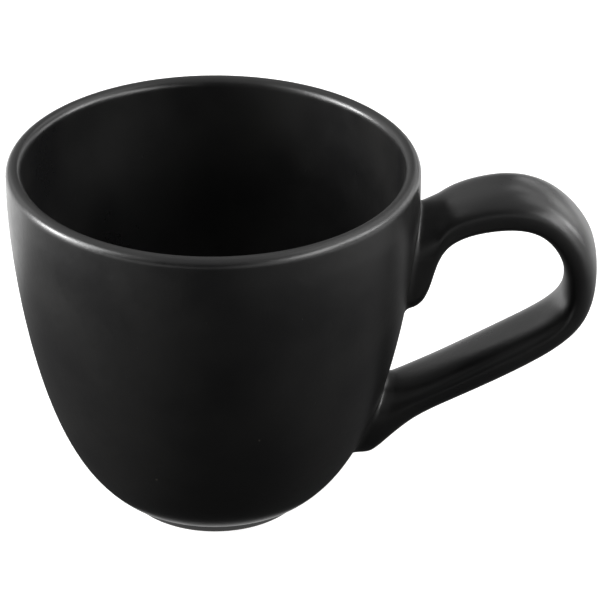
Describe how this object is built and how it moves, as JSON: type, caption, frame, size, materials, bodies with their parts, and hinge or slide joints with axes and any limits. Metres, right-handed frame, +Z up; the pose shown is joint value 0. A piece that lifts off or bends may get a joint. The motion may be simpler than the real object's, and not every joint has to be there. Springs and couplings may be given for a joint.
{
  "type": "mug",
  "caption": "Stoneware mug with a tapering round bowl, a domed rim, a low foot ring and a wide looped strap handle, in satin black glaze.",
  "frame": {"origin": "on the table plane, under the middle of the mug's whole length and width, which is on the foot ring's contact face on the handle side", "axes": "+Z up along the bowl's axis; +X from the bowl towards the handle; the handle lies in the XZ plane"},
  "size_m": [0.1363, 0.095, 0.087],
  "materials": {
    "black_glaze": "satin",
    "bare_clay": "matte"
  },
  "bodies": {
    "root": {"cup_body": "black_glaze", "foot_ring": "bare_clay", "foot_joint": "black_glaze", "handle": "black_glaze", "upper_handle_joint": "black_glaze", "lower_handle_joint": "black_glaze"}
  },
  "joints": []
}
